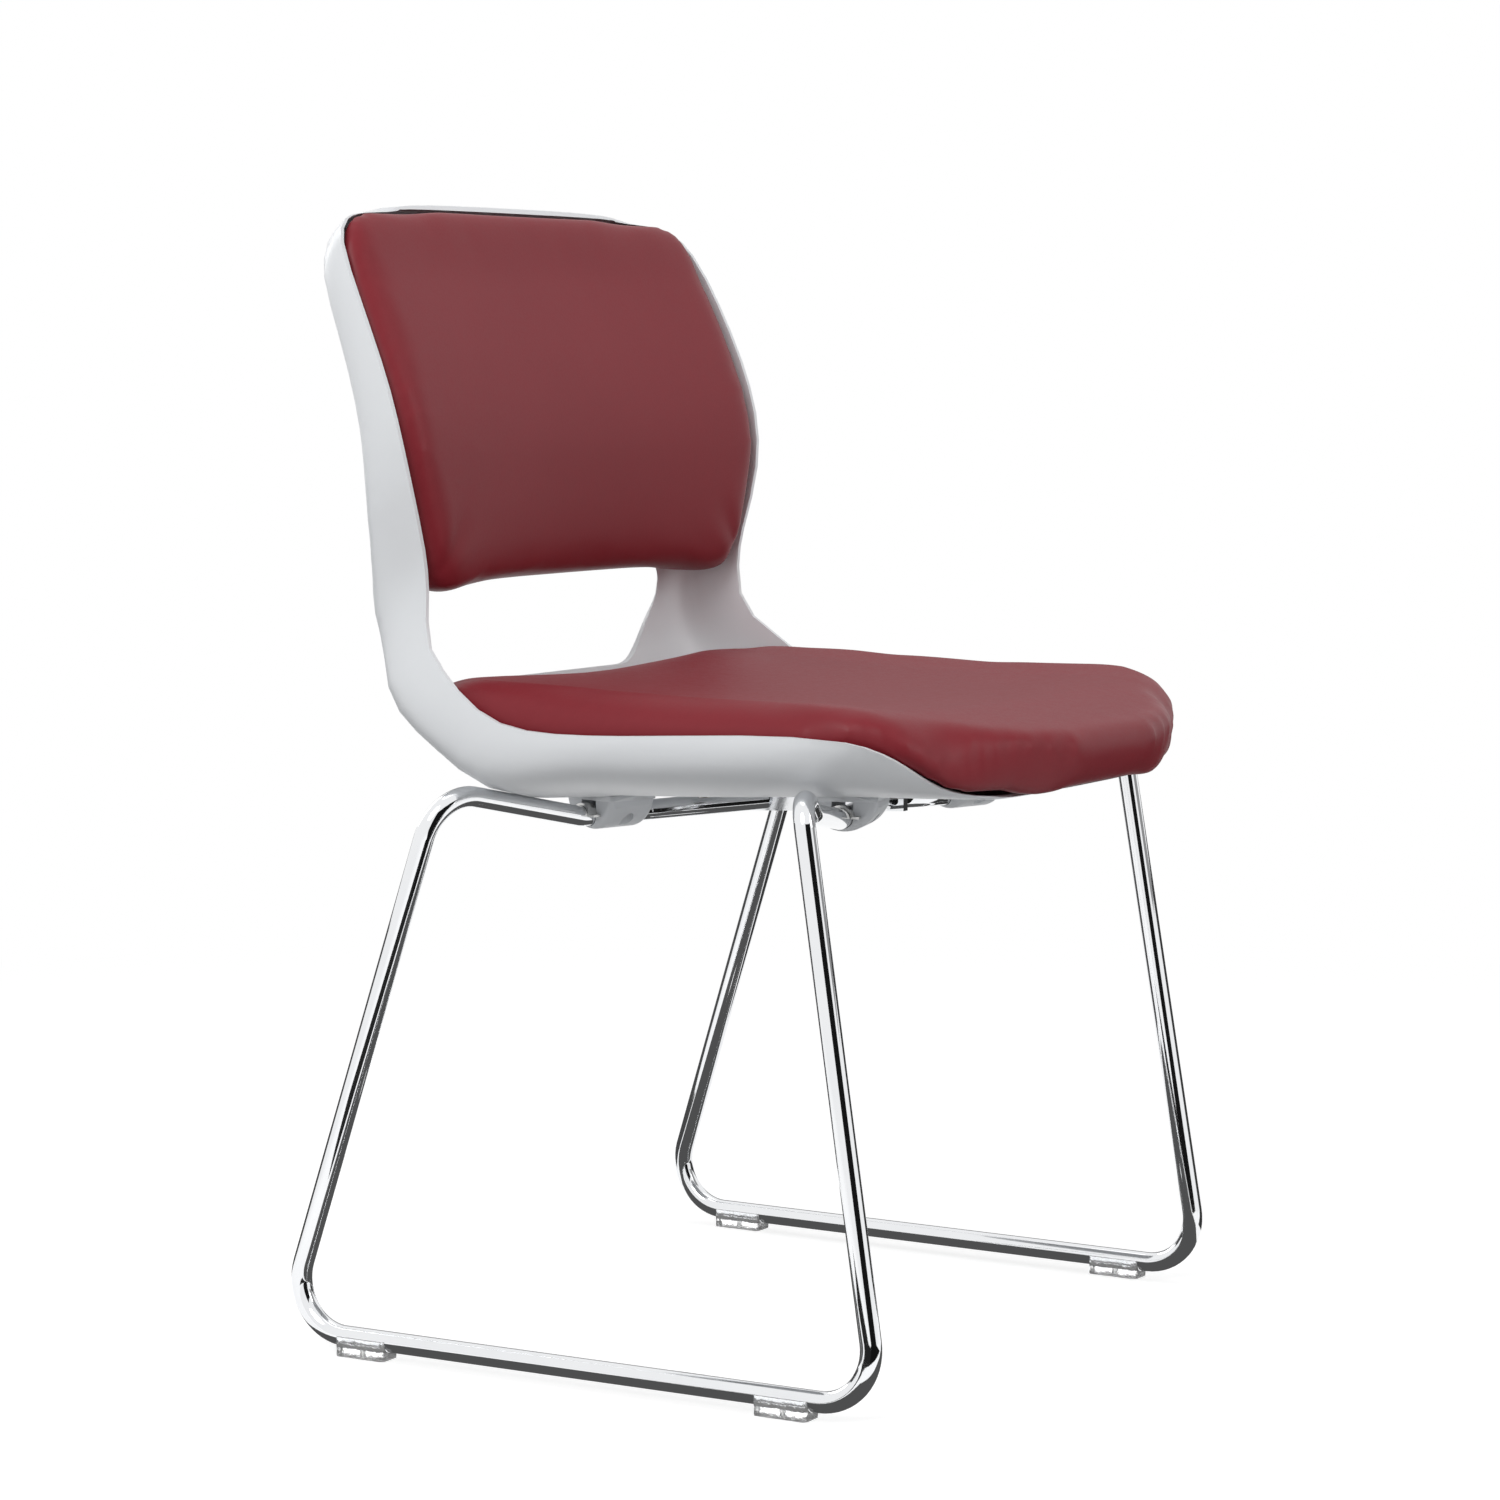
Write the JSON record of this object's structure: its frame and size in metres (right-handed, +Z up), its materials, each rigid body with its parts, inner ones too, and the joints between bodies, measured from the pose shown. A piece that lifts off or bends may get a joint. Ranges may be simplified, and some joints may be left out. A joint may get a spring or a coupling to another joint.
{
  "type": "visitor chair",
  "caption": "Visitor chair with a white moulded shell, burgundy leather seat and back pads, an open lumbar gap and a chromed tube sled base on clear glides.",
  "frame": {"origin": "on the floor, in the middle of the chair's outline seen from above", "axes": "+Z up, -Y the way the sitter looks, +X to the sitter's left"},
  "size_m": [0.5084, 0.4975, 0.7665],
  "materials": {
    "shell": "smooth moulded white",
    "tube": "polished chrome",
    "saddle": "moulded, satin",
    "screw": "zinc plated",
    "leather": "coated burgundy leather with a fine grain",
    "board": "raw plywood",
    "foam": "cut foam",
    "peg": "moulded",
    "glide": "clear moulded plastic"
  },
  "bodies": {
    "root": {"seat_back_shell": "shell", "side_frame_right": "tube", "side_frame_left": "tube", "frame_spine": "tube", "saddle_rear_right": "saddle", "saddle_rear_left": "saddle", "saddle_front_right": "saddle", "saddle_front_left": "saddle", "saddle_screws": "screw", "tube_clips": "screw", "seat_pad_cover": "leather", "seat_pad_board": "board", "seat_pad_foam": "foam", "seat_pad_tee_nuts": "screw", "seat_pad_screws": "screw", "back_pad_cover": "leather", "back_pad_board": "board", "back_pad_foam": "foam", "back_pad_pegs": "peg", "glide_rear_right": "glide", "glide_rear_left": "glide", "glide_front_right": "glide", "glide_front_left": "glide", "glide_pins": "screw"}
  },
  "joints": []
}
